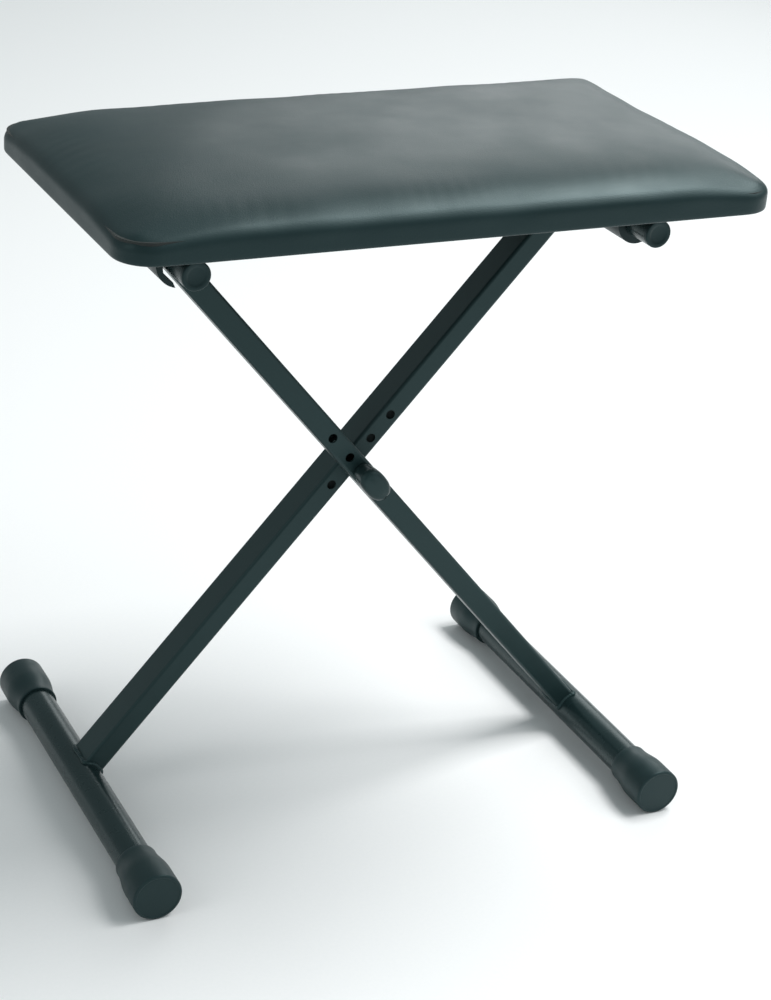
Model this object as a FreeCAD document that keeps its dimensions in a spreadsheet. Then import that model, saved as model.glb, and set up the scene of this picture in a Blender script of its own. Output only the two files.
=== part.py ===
"""X-frame piano bench: a padded seat on two crossed legs of rectangular steel tube.

Origin: on the floor, under the middle of the seat. +X points to the player's right, +Y to the back, +Z up.
The front leg runs from its foot at +X up to its seat bar at -X. The back leg is the same leg turned half
round the Z axis, so it runs the other way behind the front one. A stud with a knob clamps the two legs
together through the third of four holes, a little to the left of the seat's middle. The seat turns on the
back leg's bar and hooks over the front leg's.
"""
import FreeCAD, Part
import Sketcher
import math
import os

os.makedirs("parts", exist_ok=True)
doc = FreeCAD.newDocument("piano_bench")

# Driving dimensions in millimetres. Cells that start with "=" are worked out from the ones above them.
DIMENSIONS = [
    # seat
    ("seat_width", "456", "seat, side to side, over the cover"),
    ("seat_depth", "256", "seat, front to back, over the cover"),
    ("corner_radius", "24", "seat corner in plan"),
    ("board_thickness", "12", "plywood board"),
    ("foam_thickness", "28", "foam over the board, at the crown"),
    ("cover_thickness", "2", "leatherette with its wadding"),
    ("cover_turn_in", "22", "cover folded under the board"),
    ("edge_inset", "9", "foam's edge to where its side turns inwards"),
    ("shoulder_inset", "32", "foam's edge to its shoulder"),
    ("crown_inset", "80", "foam's edge to its flat crown"),
    # legs
    ("leg_width", "16", "leg tube, the side that faces the front"),
    ("leg_depth", "25", "leg tube, front to back"),
    ("leg_wall", "1.5", "leg tube wall"),
    ("leg_corner", "2.2", "leg tube's outer corner radius"),
    ("leg_gap", "1", "gap between the legs, filled by a spacer at the pivot"),
    ("leg_lower", "294.5", "pivot to foot bar axis, along the leg"),
    ("leg_upper", "248.5", "pivot to seat bar axis, along the leg"),
    ("pivot_shift", "9", "pivot to the left of the seat's middle"),
    ("hole_pitch", "21.4", "step between height holes"),
    ("weld_size", "2.4", "weld bead"),
    # foot bars
    ("foot_bar_dia", "25.4", "foot bar"),
    ("bar_wall", "1.5", "wall of all round bars"),
    ("foot_length", "300", "foot, over its two caps"),
    ("foot_cap_length", "42", "foot cap"),
    ("foot_cap_wall", "4.5", "foot cap's wall at its large end"),
    ("foot_cap_lip_wall", "2", "foot cap's wall at its mouth"),
    ("foot_cap_lip", "3", "foot cap's straight lip"),
    ("foot_cap_flare", "17", "foot cap's cone"),
    ("foot_cap_floor", "5", "foot cap's closed end"),
    ("foot_cap_chamfer", "1.2", "bevel round the foot cap's end"),
    # seat bars
    ("seat_bar_dia", "19", "seat bar"),
    ("seat_bar_setback", "56.5", "left seat bar's axis to the seat's left edge"),
    ("seat_bar_inset", "30", "seat bar's end, without its plug, to the seat's front or back edge"),
    ("plug_flange", "3", "bar plug's outer disc"),
    ("plug_depth", "14", "bar plug's spigot"),
    ("plug_chamfer", "0.8", "bevel round the bar plug's disc"),
    # saddles under the board
    ("saddle_crown", "11", "saddle between the bar and the board"),
    ("saddle_length", "30", "saddle, front to back"),
    ("bearing_wall", "5.45", "bearing saddle's wall round the bar"),
    ("hook_wall", "6.7", "hook saddle's wall round the bar"),
    ("hook_inner_wall", "2.55", "hook saddle's wall on its open side"),
    ("hook_rise", "6.3", "hook saddle's open side, its lower edge above the bar's axis"),
    ("hook_drop", "3", "how far the hook saddle lets the bar drop"),
    ("hook_shift", "2", "how far the hook saddle lets the bar move outwards"),
    ("hook_exit", "65", "slope of the way out of the hook saddle, in degrees"),
    ("bearing_inset", "23", "bearing saddle's outer face to the bar's end"),
    ("hook_room", "17.1", "hook saddle's inner face to the front leg's weld"),
    ("running_gap", "0.05", "bearing saddle's radial clearance"),
    ("hook_gap", "0.3", "hook saddle's radial clearance"),
    ("flange_thickness", "4", "saddle flange"),
    ("screw_dia", "4", "wood screw shank"),
    ("screw_cover", "2", "board left over the wood screw's tip"),
    ("screw_head_dia", "8", "wood screw head"),
    ("screw_head_height", "2.4", "wood screw head"),
    ("screw_margin", "1", "wood screw head to the saddle's wall and to the flange's end"),
    # pivot
    ("stud_dia", "6", "knob stud"),
    ("stud_clearance", "0.4", "height hole's radial clearance round the stud"),
    ("stud_tail", "11.6", "knob stud beyond the nut"),
    ("knob_width", "17", "knob across its short axis"),
    ("knob_length", "27", "knob along its long axis"),
    ("knob_height", "17", "knob, back to front"),
    ("knob_end_flat", "1", "flat left at the knob's round ends"),
    ("knob_chamfer", "2.5", "bevel round the knob's face"),
    ("knob_cover", "5", "knob left in front of the stud"),
    ("washer_dia", "15", "knob washer, nut washer and spacer"),
    ("washer_thickness", "1.2", "knob washer and nut washer"),
    ("nut_flats", "10", "nut across its flats"),
    ("nut_height", "5", "nut"),
    # worked out
    ("leg_inner_corner", "=max(0.5; leg_corner - leg_wall)", "leg tube's inner corner radius"),
    ("foot_cap_dia", "=foot_bar_dia + 2 * foot_cap_wall", "foot cap's large end"),
    ("foot_cap_lip_dia", "=foot_bar_dia + 2 * foot_cap_lip_wall", "foot cap's mouth"),
    ("foot_tube_length", "=foot_length - 2 * foot_cap_floor", "foot bar, inside its caps"),
    ("seat_bar_length", "=seat_depth - 2 * seat_bar_inset", "seat bar, without its plugs"),
    ("seat_bar_reach", "=seat_width / 2 - seat_bar_setback - pivot_shift", "seat bar axis to pivot, across"),
    ("lean", "=acos(seat_bar_reach / leg_upper)", "leg above the floor, in degrees"),
    ("foot_reach", "=leg_lower * cos(lean)", "foot bar axis to pivot, across"),
    ("foot_height", "=foot_cap_dia / 2", "foot bar axis above the floor"),
    ("pivot_height", "=foot_height + leg_lower * sin(lean)", "pivot above the floor"),
    ("bar_height", "=pivot_height + leg_upper * sin(lean)", "seat bar axis above the floor"),
    ("saddle_rise", "=seat_bar_dia / 2 + saddle_crown", "seat bar axis to board"),
    ("board_height", "=bar_height + saddle_rise", "board's underside above the floor"),
    ("leg_offset", "=(leg_depth + leg_gap) / 2", "leg's middle to the middle plane"),
    ("hole_bore", "=stud_dia + 2 * stud_clearance", "height hole, and washer and spacer bore"),
    ("knob_end", "=(knob_width - knob_end_flat) / 2", "radius of the knob's round ends"),
    ("stack", "=2 * leg_depth + leg_gap + 2 * washer_thickness", "legs and washers between knob and nut"),
    ("stud_reach", "=stack + nut_height + stud_tail", "knob stud, from the knob's back to its tip"),
    ("bearing_radius", "=seat_bar_dia / 2 + running_gap + bearing_wall", "bearing saddle's outside"),
    ("hook_bore", "=seat_bar_dia / 2 + hook_gap", "hook saddle's radius round the bar"),
    ("hook_radius", "=hook_bore + hook_wall", "hook saddle's outside"),
    ("bearing_place", "=seat_bar_length / 2 - bearing_inset", "bearing saddle's outer face to the middle"),
    ("weld_end", "=leg_gap / 2 + leg_depth + weld_size", "weld's far end to the middle"),
    ("hook_place", "=weld_end + hook_room + saddle_length", "hook saddle's outer face to the middle"),
    ("screw_reach", "=hook_radius + screw_head_dia / 2 + screw_margin", "wood screw to the bar's axis"),
    ("flange_width", "=2 * (screw_reach + screw_head_dia / 2 + screw_margin)", "saddle flange, side to side"),
    ("screw_length", "=flange_thickness + board_thickness - screw_cover", "wood screw under its head"),
]
dims = doc.addObject("Spreadsheet::Sheet", "Dims")
for row, (alias, value, note) in enumerate(DIMENSIONS, start=1):
    dims.set(f"A{row}", note)
    dims.set(f"B{row}", value)
    dims.setAlias(f"B{row}", alias)
doc.recompute()

NODES = []
SIDES = {"front_leg": 1, "back_leg": -1}
Y_AXIS = FreeCAD.Vector(0, 1, 0)
ALONG_Y = (FreeCAD.Vector(1, 0, 0), -90)
ALONG_MINUS_Y = (FreeCAD.Vector(1, 0, 0), 90)


def size(alias):
    """The value of a cell as a plain number."""
    return float(dims.get(alias))


def node(obj, label):
    """Names a finished sub-part and puts it on the list of files to write."""
    obj.Label = label
    NODES.append(obj)
    return obj


def bind(obj, **rules):
    """Ties properties of obj to the sheet. A double underscore in a name stands for a dot."""
    for name, rule in rules.items():
        obj.setExpression(name.replace("__", "."), rule)
    return obj


def signed(side, rule):
    """The rule with the sign of side, which is 1 or -1."""
    return f"{side} * ({rule})"


def place(obj, x="0", y="0", z="0"):
    """Ties where obj stands to the sheet."""
    return bind(obj, Placement__Base__x=x, Placement__Base__y=y, Placement__Base__z=z)


def cylinder(name, radius, height, turn=None):
    """A cylinder along Z, or along another axis after turn = (axis, degrees)."""
    obj = doc.addObject("Part::Cylinder", name)
    if turn:
        obj.Placement = FreeCAD.Placement(FreeCAD.Vector(), FreeCAD.Rotation(*turn))
    return bind(obj, Radius=radius, Height=height)


def box(name, length, width, height, x, y, z):
    """A box from its low corner."""
    obj = doc.addObject("Part::Box", name)
    return place(bind(obj, Length=length, Width=width, Height=height), x, y, z)


def boolean(kind, name, *shapes):
    """A Part boolean: the first shape cut by the second, or all of them fused."""
    obj = doc.addObject(f"Part::{kind}", name)
    if kind == "MultiFuse":
        obj.Shapes = list(shapes)
    else:
        obj.Base, obj.Tool = shapes
    obj.Refine = True
    return obj


def origin_plane(body, role):
    """One of the body's own origin planes, such as XY_Plane."""
    return next(part for part in body.Origin.OriginFeatures if part.Role == role)


def sketch_on(body, role, name, lift=None):
    """An empty sketch on one of the body's origin planes, lifted off it by a rule from the sheet."""
    sketch = body.newObject("Sketcher::SketchObject", name)
    sketch.AttachmentSupport = [(origin_plane(body, role), "")]
    sketch.MapMode = "FlatFace"
    if lift:
        sketch.setExpression("AttachmentOffset.Base.z", lift)
    return sketch


def drive(sketch, constraint, name, rule):
    """Adds a constraint to a sketch and ties its value to the sheet."""
    index = sketch.addConstraint(constraint)
    sketch.renameConstraint(index, name)
    sketch.setExpression(f"Constraints.{name}", rule)


def rounded_rectangle(sketch, width, depth, radius):
    """A rectangle with round corners about the sketch's origin, its three sizes tied to the sheet."""
    reach_x, reach_y, arc = 40.0, 30.0, 5.0
    corners = [(1, -1), (1, 1), (-1, 1), (-1, -1)]
    first = sketch.GeometryCount
    for step, (sx, sy) in enumerate(corners):
        px, py = corners[step - 1]
        start = FreeCAD.Vector(px * reach_x, py * reach_y, 0)
        end = FreeCAD.Vector(sx * reach_x, sy * reach_y, 0)
        outward = FreeCAD.Vector(end.y - start.y, start.x - end.x, 0).normalize() * arc
        sketch.addGeometry(Part.LineSegment(start + outward, end + outward))
        circle = Part.Circle(end, FreeCAD.Vector(0, 0, 1), arc)
        angle = (step - 1) * math.pi / 2
        sketch.addGeometry(Part.ArcOfCircle(circle, angle, angle + math.pi / 2))
    for step in range(8):
        here, after = first + step, first + (step + 1) % 8
        sketch.addConstraint(Sketcher.Constraint("Tangent", here, 2, after, 1))
    for step in range(4):
        kind = "Vertical" if step % 2 else "Horizontal"
        sketch.addConstraint(Sketcher.Constraint(kind, first + 2 * step))
    for step in (3, 5, 7):
        sketch.addConstraint(Sketcher.Constraint("Equal", first + 1, first + step))
    sketch.addConstraint(Sketcher.Constraint("Symmetric", first + 1, 3, first + 5, 3, -1, 1))
    tag = f"_{first}"
    drive(sketch, Sketcher.Constraint("Radius", first + 1, arc), "round" + tag, radius)
    wide = Sketcher.Constraint("DistanceX", first + 7, 3, first + 1, 3, 2 * reach_x)
    drive(sketch, wide, "wide" + tag, f"({width}) - 2 * ({radius})")
    deep = Sketcher.Constraint("DistanceY", first + 1, 3, first + 3, 3, 2 * reach_y)
    drive(sketch, deep, "deep" + tag, f"({depth}) - 2 * ({radius})")


def circle_at(sketch, name, diameter, along=None):
    """A circle on the sketch's vertical axis, a rule's distance from the origin."""
    seed = 3.0
    middle = FreeCAD.Vector(0, 10 if along else 0, 0)
    index = sketch.addGeometry(Part.Circle(middle, FreeCAD.Vector(0, 0, 1), seed))
    drive(sketch, Sketcher.Constraint("Diameter", index, 2 * seed), name + "_size", diameter)
    if along:
        sketch.addConstraint(Sketcher.Constraint("PointOnObject", index, 3, -2))
        drive(sketch, Sketcher.Constraint("DistanceY", -1, 1, index, 3, 10), name + "_place", along)
    else:
        sketch.addConstraint(Sketcher.Constraint("Coincident", index, 3, -1, 1))


def size_of(rule):
    """What a rule is worth now, as a plain number."""
    value = dims.evalExpression(rule.replace("Dims.", ""))
    return float(getattr(value, "Value", value))


def revolved(name, points):
    """A body turned about its own Z axis from a closed outline. Each corner is (radius rule, height rule)."""
    body = doc.addObject("PartDesign::Body", name)
    sketch = sketch_on(body, "XZ_Plane", name + "_outline")
    count = len(points)
    seeds = [FreeCAD.Vector(size_of(r), size_of(h), 0) for r, h in points]
    for step in range(count):
        sketch.addGeometry(Part.LineSegment(seeds[step], seeds[(step + 1) % count]))
    for step in range(count):
        sketch.addConstraint(Sketcher.Constraint("Coincident", step, 2, (step + 1) % count, 1))
    for step, (radius, height) in enumerate(points):
        across = Sketcher.Constraint("DistanceX", -1, 1, step, 1, seeds[step].x)
        upward = Sketcher.Constraint("DistanceY", -1, 1, step, 1, seeds[step].y)
        drive(sketch, across, f"radius_{step}", radius)
        drive(sketch, upward, f"height_{step}", height)
    turn = body.newObject("PartDesign::Revolution", name + "_turn")
    turn.Profile = sketch
    turn.ReferenceAxis = (sketch, ["V_Axis"])
    turn.Angle = 360
    return body


# Legs -------------------------------------------------------------------------------------------------------
# A leg is welded from a rectangular tube, a foot bar across its lower end and a seat bar across its upper
# end. In the leg's own axes Z runs up the tube from the foot bar's axis, and Y runs front to back.
HOLE_STEPS = (-1, 0, 1, 2)


def from_pivot(side, across):
    """The rule for a place at a distance across from the pivot, on the given side of it."""
    return f"{signed(side, across)} - Dims.pivot_shift"


def stand_leg(obj, side, along="0"):
    """Leans obj, drawn in a leg's own axes, and moves it up the leg by a rule's distance."""
    axis = FreeCAD.Vector(0, -side, 0)
    obj.Placement = FreeCAD.Placement(FreeCAD.Vector(), FreeCAD.Rotation(axis, 40))
    bind(obj, Placement__Rotation__Angle="90 deg - Dims.lean")
    across = f"Dims.foot_reach - ({along}) * cos(Dims.lean)"
    upward = f"Dims.foot_height + ({along}) * sin(Dims.lean)"
    return place(obj, from_pivot(side, across), signed(-side, "Dims.leg_offset"), upward)


def leg_tube(leg, side):
    """The rectangular tube, coped at both ends to sit on its bars, with four holes for the stud."""
    body = doc.addObject("PartDesign::Body", leg + "_tube_body")
    section = sketch_on(body, "XY_Plane", leg + "_section")
    rounded_rectangle(section, "Dims.leg_width", "Dims.leg_depth", "Dims.leg_corner")
    inner_width = "Dims.leg_width - 2 * Dims.leg_wall"
    inner_depth = "Dims.leg_depth - 2 * Dims.leg_wall"
    rounded_rectangle(section, inner_width, inner_depth, "Dims.leg_inner_corner")
    pad = body.newObject("PartDesign::Pad", leg + "_length")
    pad.Profile = section
    bind(pad, Length="Dims.leg_lower + Dims.leg_upper")
    cope = sketch_on(body, "XZ_Plane", leg + "_cope")
    circle_at(cope, "foot", "Dims.foot_bar_dia")
    circle_at(cope, "seat", "Dims.seat_bar_dia", "Dims.leg_lower + Dims.leg_upper")
    holes = sketch_on(body, "XZ_Plane", leg + "_holes")
    for step in HOLE_STEPS:
        circle_at(holes, f"hole_{step + 1}", "Dims.hole_bore", f"Dims.leg_lower + {step} * Dims.hole_pitch")
    for name, sketch in (("cope_cut", cope), ("hole_cut", holes)):
        cut = body.newObject("PartDesign::Pocket", f"{leg}_{name}")
        cut.Profile = sketch
        cut.Type = 1
        cut.Midplane = True
    stand_leg(body, side)
    return node(body, leg + "_tube")


def bar(leg, name, diameter, length, reach, height):
    """A round tube across the leg, front to back, about the bench's middle plane."""
    outer = cylinder(f"{leg}_{name}_outer", f"{diameter} / 2", length)
    inner = cylinder(f"{leg}_{name}_inner", f"{diameter} / 2 - Dims.bar_wall", length)
    tube = boolean("Cut", f"{leg}_{name}_tube", outer, inner)
    tube.Placement = FreeCAD.Placement(FreeCAD.Vector(), FreeCAD.Rotation(*ALONG_MINUS_Y))
    place(tube, reach, f"{length} / 2", height)
    return node(tube, f"{leg}_{name}")


def weld(leg, name, side, diameter, along, low):
    """The bead round a leg's end: a band that hugs the bar and runs round the tube, from low upwards."""
    tag = f"{leg}_{name}"
    reach = "(Dims.leg_depth + 2 * Dims.weld_size)"
    width = "(Dims.leg_width + 2 * Dims.weld_size)"
    skin = cylinder(tag + "_skin", f"{diameter} / 2 + Dims.weld_size", reach, ALONG_MINUS_Y)
    place(skin, "0", f"{reach} / 2", "0")
    window = box(tag + "_window", width, reach, diameter, f"-{width} / 2", f"-{reach} / 2", low)
    band = boolean("Common", tag + "_band", skin, window)
    core = cylinder(tag + "_core", f"{diameter} / 2", f"2 * {reach}", ALONG_MINUS_Y)
    place(core, "0", reach, "0")
    stem = box(tag + "_stem", "Dims.leg_width", "Dims.leg_depth", f"2 * {diameter}",
               "-Dims.leg_width / 2", "-Dims.leg_depth / 2", f"-{diameter}")
    bead = boolean("Cut", tag + "_bead", band, boolean("MultiFuse", tag + "_inside", core, stem))
    stand_leg(bead, side, along)
    return node(bead, tag)


def end_piece(label, end, points, reach, half_length, height):
    """A turned piece on a bar's front or rear end, drawn from its closed end at z = 0 into the bar."""
    front = end == "front"
    body = revolved(label + "_body", points)
    turn = ALONG_Y if front else ALONG_MINUS_Y
    body.Placement = FreeCAD.Placement(FreeCAD.Vector(), FreeCAD.Rotation(*turn))
    place(body, reach, signed(-1 if front else 1, half_length), height)
    return node(body, label)


def foot_cap(leg, end, reach):
    """A moulded cap over a foot bar's end: a narrow mouth, a flare, and a thick closed end on the floor."""
    mouth = "Dims.foot_cap_length"
    bore = "Dims.foot_bar_dia / 2"
    outline = [
        ("0", "0"),
        ("Dims.foot_cap_dia / 2 - Dims.foot_cap_chamfer", "0"),
        ("Dims.foot_cap_dia / 2", "Dims.foot_cap_chamfer"),
        ("Dims.foot_cap_dia / 2", f"{mouth} - Dims.foot_cap_lip - Dims.foot_cap_flare"),
        ("Dims.foot_cap_lip_dia / 2", f"{mouth} - Dims.foot_cap_lip"),
        ("Dims.foot_cap_lip_dia / 2", mouth),
        (bore, mouth),
        (bore, "Dims.foot_cap_floor"),
        ("0", "Dims.foot_cap_floor"),
    ]
    return end_piece(f"{leg}_foot_cap_{end}", end, outline, reach, "Dims.foot_length / 2", "Dims.foot_height")


def bar_plug(leg, end, reach):
    """A moulded plug in a seat bar's end: a disc as wide as the bar, and a spigot inside it."""
    spigot = "Dims.seat_bar_dia / 2 - Dims.bar_wall"
    outline = [
        ("0", "0"),
        ("Dims.seat_bar_dia / 2 - Dims.plug_chamfer", "0"),
        ("Dims.seat_bar_dia / 2", "Dims.plug_chamfer"),
        ("Dims.seat_bar_dia / 2", "Dims.plug_flange"),
        (spigot, "Dims.plug_flange"),
        (spigot, "Dims.plug_flange + Dims.plug_depth"),
        ("0", "Dims.plug_flange + Dims.plug_depth"),
    ]
    half_length = "Dims.seat_bar_length / 2 + Dims.plug_flange"
    return end_piece(f"{leg}_bar_plug_{end}", end, outline, reach, half_length, "Dims.bar_height")


for leg_name, leg_side in SIDES.items():
    foot_place = from_pivot(leg_side, "Dims.foot_reach")
    seat_place = from_pivot(-leg_side, "Dims.seat_bar_reach")
    leg_tube(leg_name, leg_side)
    bar(leg_name, "foot_bar", "Dims.foot_bar_dia", "Dims.foot_tube_length", foot_place, "Dims.foot_height")
    bar(leg_name, "seat_bar", "Dims.seat_bar_dia", "Dims.seat_bar_length", seat_place, "Dims.bar_height")
    weld(leg_name, "foot_weld", leg_side, "Dims.foot_bar_dia", "0", "0")
    whole_leg = "Dims.leg_lower + Dims.leg_upper"
    weld(leg_name, "seat_weld", leg_side, "Dims.seat_bar_dia", whole_leg, "-Dims.seat_bar_dia")
    for end_name in ("front", "rear"):
        foot_cap(leg_name, end_name, foot_place)
        bar_plug(leg_name, end_name, seat_place)

# Pivot ------------------------------------------------------------------------------------------------------
# The knob is moulded on a steel stud. The stud passes both legs and screws into a nut behind the back leg.
# Its thread is a plain cylinder here.
PIVOT_PLACE = "-Dims.pivot_shift"
FRONT_FACE = "-(Dims.leg_depth + Dims.leg_gap / 2)"
BACK_FACE = "Dims.leg_depth + Dims.leg_gap / 2"


def ring(label, thickness, start):
    """A washer about the pivot, from start towards +Y."""
    disc = cylinder(label + "_disc", "Dims.washer_dia / 2", thickness)
    eye = cylinder(label + "_eye", "Dims.hole_bore / 2", thickness)
    washer = boolean("Cut", label + "_ring", disc, eye)
    washer.Placement = FreeCAD.Placement(FreeCAD.Vector(), FreeCAD.Rotation(*ALONG_Y))
    place(washer, PIVOT_PLACE, start, "Dims.pivot_height")
    return node(washer, label)


def knob():
    """The oval grip: a bar with half-round ends, bevelled round its face, on a blind bore for the stud."""
    body = doc.addObject("PartDesign::Body", "knob_body")
    outline = sketch_on(body, "XY_Plane", "knob_outline")
    rounded_rectangle(outline, "Dims.knob_width", "Dims.knob_length", "Dims.knob_end")
    grip = body.newObject("PartDesign::Pad", "knob_grip")
    grip.Profile = outline
    bind(grip, Length="Dims.knob_height")
    socket = sketch_on(body, "XY_Plane", "knob_socket")
    circle_at(socket, "bore", "Dims.stud_dia")
    bore = body.newObject("PartDesign::Pocket", "knob_bore")
    bore.Profile = socket
    bore.Reversed = True
    bind(bore, Length="Dims.knob_height - Dims.knob_cover")
    doc.recompute()
    face_height = size("knob_height") - 0.001
    edges = enumerate(bore.Shape.Edges, start=1)
    face_edges = [f"Edge{number}" for number, edge in edges if edge.BoundBox.ZMin > face_height]
    bevel = body.newObject("PartDesign::Chamfer", "knob_bevel")
    bevel.Base = (bore, face_edges)
    bind(bevel, Size="Dims.knob_chamfer")
    # The grip is drawn along Z, then turned to the front. Its carrier leans it with the leg.
    body.Placement = FreeCAD.Placement(FreeCAD.Vector(), FreeCAD.Rotation(*ALONG_MINUS_Y))
    carrier = doc.addObject("Part::Compound", "knob_carrier")
    carrier.Links = [body]
    carrier.Placement = FreeCAD.Placement(FreeCAD.Vector(), FreeCAD.Rotation(-Y_AXIS, 40))
    bind(carrier, Placement__Rotation__Angle="90 deg - Dims.lean")
    place(carrier, PIVOT_PLACE, f"{FRONT_FACE} - Dims.washer_thickness", "Dims.pivot_height")
    return node(carrier, "knob")


def nut():
    """A hexagon nut behind the back leg, its thread a plain bore just larger than the stud."""
    prism = doc.addObject("Part::Prism", "nut_prism")
    prism.Polygon = 6
    bind(prism, Circumradius="Dims.nut_flats / 2 / cos(30 deg)", Height="Dims.nut_height")
    eye = cylinder("nut_eye", "Dims.stud_dia / 2 + Dims.running_gap", "Dims.nut_height")
    shape = boolean("Cut", "nut_shape", prism, eye)
    shape.Placement = FreeCAD.Placement(FreeCAD.Vector(), FreeCAD.Rotation(*ALONG_Y))
    place(shape, PIVOT_PLACE, f"{BACK_FACE} + Dims.washer_thickness", "Dims.pivot_height")
    return node(shape, "pivot_nut")


ring("knob_washer", "Dims.washer_thickness", f"{FRONT_FACE} - Dims.washer_thickness")
ring("leg_spacer", "Dims.leg_gap", "-Dims.leg_gap / 2")
ring("nut_washer", "Dims.washer_thickness", BACK_FACE)
knob()
in_knob = "(Dims.knob_height - Dims.knob_cover)"
stud = cylinder("stud", "Dims.stud_dia / 2", f"{in_knob} + Dims.stud_reach", ALONG_Y)
place(stud, PIVOT_PLACE, f"{FRONT_FACE} - Dims.washer_thickness - {in_knob}", "Dims.pivot_height")
node(stud, "knob_stud")
nut()

# Saddles ----------------------------------------------------------------------------------------------------
# Moulded blocks screwed under the board. Two bearings at +X close round the back leg's bar, and two hooks at
# -X rest on the front leg's bar and reach under it, open towards the middle so that the bar can leave them.
# Each is drawn about the bar's axis, from its outer face.


def flange(tag):
    """A saddle's flange, flat under the board."""
    return box(tag + "_flange", "Dims.flange_width", "Dims.saddle_length", "Dims.flange_thickness",
               "-Dims.flange_width / 2", "0", "Dims.saddle_rise - Dims.flange_thickness")


def bearing(tag):
    """A closed saddle that the back leg's bar turns in."""
    block = box(tag + "_block", "2 * Dims.bearing_radius", "Dims.saddle_length", "Dims.saddle_rise",
                "-Dims.bearing_radius", "0", "0")
    round_end = cylinder(tag + "_round", "Dims.bearing_radius", "Dims.saddle_length", ALONG_Y)
    bore = cylinder(tag + "_bore", "Dims.seat_bar_dia / 2 + Dims.running_gap", "Dims.saddle_length", ALONG_Y)
    solid = boolean("MultiFuse", tag + "_solid", flange(tag), block, round_end)
    return boolean("Cut", tag + "_bored", solid, bore)


def hook(tag):
    """An open saddle: an arch over the front leg's bar, and a lip that hooks under its outer side."""
    arch_width = "Dims.hook_radius + Dims.hook_bore + Dims.hook_inner_wall"
    arch = box(tag + "_arch", arch_width, "Dims.saddle_length", "Dims.saddle_rise - Dims.hook_rise",
               "-Dims.hook_radius", "0", "Dims.hook_rise")
    cheek = box(tag + "_cheek", "Dims.hook_radius", "Dims.saddle_length", "Dims.hook_rise",
                "-Dims.hook_radius", "0", "0")
    curl = cylinder(tag + "_curl", "Dims.hook_radius", "Dims.saddle_length", ALONG_Y)
    quarter = box(tag + "_quarter", "Dims.hook_radius", "Dims.saddle_length", "Dims.hook_radius",
                  "-Dims.hook_radius", "0", "-Dims.hook_radius")
    lip = boolean("Common", tag + "_lip", curl, quarter)
    solid = boolean("MultiFuse", tag + "_solid", flange(tag), arch, cheek, lip)
    seat = cylinder(tag + "_seat", "Dims.hook_bore", "Dims.saddle_length", ALONG_Y)
    # The bar leaves downwards and inwards along the slot, and has room to drop before it does.
    slack = cylinder(tag + "_slack", "Dims.hook_bore", "Dims.saddle_length", ALONG_Y)
    place(slack, "-Dims.hook_shift", "0", "-Dims.hook_drop")
    slot = box(tag + "_slot", "Dims.flange_width", "Dims.saddle_length", "2 * Dims.hook_bore", "0", "0", "0")
    slot.Placement = FreeCAD.Placement(FreeCAD.Vector(), FreeCAD.Rotation(Y_AXIS, 60))
    bind(slot, Placement__Rotation__Angle="Dims.hook_exit * 1 deg")
    turn = "(Dims.hook_exit * 1 deg)"
    place(slot, f"-Dims.hook_bore * sin{turn}", "0", f"-Dims.hook_bore * cos{turn}")
    room = boolean("MultiFuse", tag + "_room", seat, slack, slot)
    return boolean("Cut", tag + "_open", solid, room)


SADDLES = [
    # label, how it is made, its side of the bench, its outer face to the middle
    ("bearing_saddle", bearing, 1, "Dims.bearing_place"),
    ("hook_saddle", hook, -1, "Dims.hook_place"),
]
screw_places = []
for saddle_name, make, saddle_side, outer_face in SADDLES:
    for end_name in ("front", "rear"):
        saddle_tag = f"{saddle_name}_{end_name}"
        if end_name == "front":
            low_face = f"-{outer_face}"
        else:
            low_face = f"{outer_face} - Dims.saddle_length"
        drills = []
        for hand in (-1, 1):
            drill_name = f"{saddle_tag}_drill_{hand + 1}"
            drill = cylinder(drill_name, "Dims.screw_dia / 2", "3 * Dims.flange_thickness")
            place(drill, signed(hand, "Dims.screw_reach"), "Dims.saddle_length / 2",
                  "Dims.saddle_rise - 2 * Dims.flange_thickness")
            drills.append(drill)
            screw_x = f"{from_pivot(saddle_side, 'Dims.seat_bar_reach')} + {hand} * Dims.screw_reach"
            screw_places.append((screw_x, f"{low_face} + Dims.saddle_length / 2"))
        all_drills = boolean("MultiFuse", saddle_tag + "_drills", *drills)
        drilled = boolean("Cut", saddle_tag + "_drilled", make(saddle_tag), all_drills)
        place(drilled, from_pivot(saddle_side, "Dims.seat_bar_reach"), low_face, "Dims.bar_height")
        node(drilled, saddle_tag)


def screws():
    """Eight pan-head wood screws through the saddles' flanges into the board, as one group."""
    shapes = []
    for number, (x_rule, y_rule) in enumerate(screw_places):
        shank = cylinder(f"screw_shank_{number}", "Dims.screw_dia / 2", "Dims.screw_length")
        place(shank, x_rule, y_rule, "Dims.board_height - Dims.flange_thickness")
        head = cylinder(f"screw_head_{number}", "Dims.screw_head_dia / 2", "Dims.screw_head_height")
        place(head, x_rule, y_rule, "Dims.board_height - Dims.flange_thickness - Dims.screw_head_height")
        shapes.append(boolean("MultiFuse", f"screw_{number}", shank, head))
    group = doc.addObject("Part::Compound", "screw_group")
    group.Links = shapes
    return node(group, "saddle_screws")


screws()

# Seat -------------------------------------------------------------------------------------------------------
# A plywood board carries a foam pad. The cover is pulled over both and turned in under the board. The foam
# is one height at the rim, where the board's edge stands, and rises to a low crown.
CROWN = [
    # height above the board as a share of the foam, and how far in from the seat's edge
    ("0.1", "0"),
    ("0.42", "Dims.edge_inset"),
    ("0.74", "Dims.shoulder_inset"),
    ("1", "Dims.crown_inset"),
]


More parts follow.
